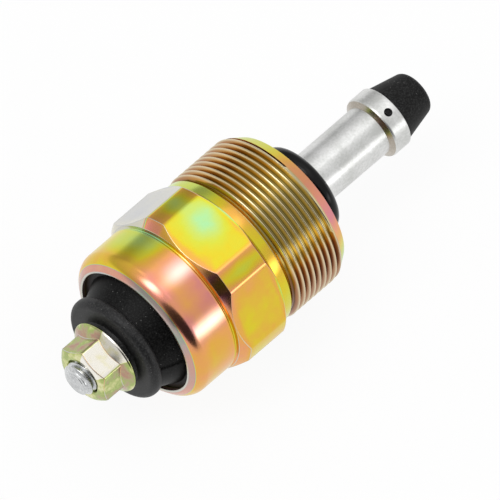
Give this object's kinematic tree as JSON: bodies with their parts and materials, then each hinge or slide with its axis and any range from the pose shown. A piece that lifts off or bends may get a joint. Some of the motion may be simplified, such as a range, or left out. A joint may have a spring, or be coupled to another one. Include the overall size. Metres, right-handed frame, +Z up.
{
  "type": "fuel shutoff solenoid",
  "caption": "Threaded fuel shutoff solenoid: hexagon housing with crimped skirt, insulated stud terminal, front seal ring and a spring-loaded plunger with a rubber valve tip.",
  "frame": {"origin": "on the solenoid's axis, in the middle of the housing's 24 mm thread", "axes": "+X along the axis towards the rubber tip, +Z up from the hexagon flat that the solenoid lies on"},
  "size_m": [0.0654, 0.026, 0.024],
  "materials": {
    "yellow_zinc_steel": "iridescent yellow zinc plating on turned steel",
    "pale_zinc_steel": "pale yellow zinc plating",
    "bright_zinc_steel": "bright zinc plating",
    "ground_steel": "satin turned and ground",
    "soft_iron": "turned",
    "nitrile_rubber": "glossy",
    "valve_rubber": "matte moulded",
    "brass": "drawn",
    "nylon": "moulded",
    "phenolic": "matte black moulded",
    "vulcanised_fibre": "punched sheet",
    "copper_wire": "enamelled copper",
    "polyester_tape": "smooth tape",
    "spring_steel": "drawn wire"
  },
  "bodies": {
    "solenoid_body": {"housing": "yellow_zinc_steel", "front_o_ring": "nitrile_rubber", "guide_sleeve": "brass", "sleeve_seal": "nitrile_rubber", "pole_core": "soft_iron", "residual_shim": "brass", "pole_plate": "soft_iron", "bobbin": "nylon", "coil_winding": "copper_wire", "coil_tape": "polyester_tape", "live_lead": "copper_wire", "earth_lead": "copper_wire", "cap_gasket": "nitrile_rubber", "insulating_disc": "vulcanised_fibre", "insulator_cap": "phenolic", "live_tab": "brass", "terminal_stud": "bright_zinc_steel", "terminal_nut": "pale_zinc_steel", "return_spring": "spring_steel"},
    "plunger_assembly": {"plunger": "ground_steel", "rubber_tip": "valve_rubber"}
  },
  "joints": [
    {"name": "plunger_slide", "type": "slide", "parent": "solenoid_body", "child": "plunger_assembly", "axis": [-1, 0, 0], "range_m": [0, 0.0034], "stiffness_N_per_m": 400, "deforming": ["return_spring"]}
  ]
}
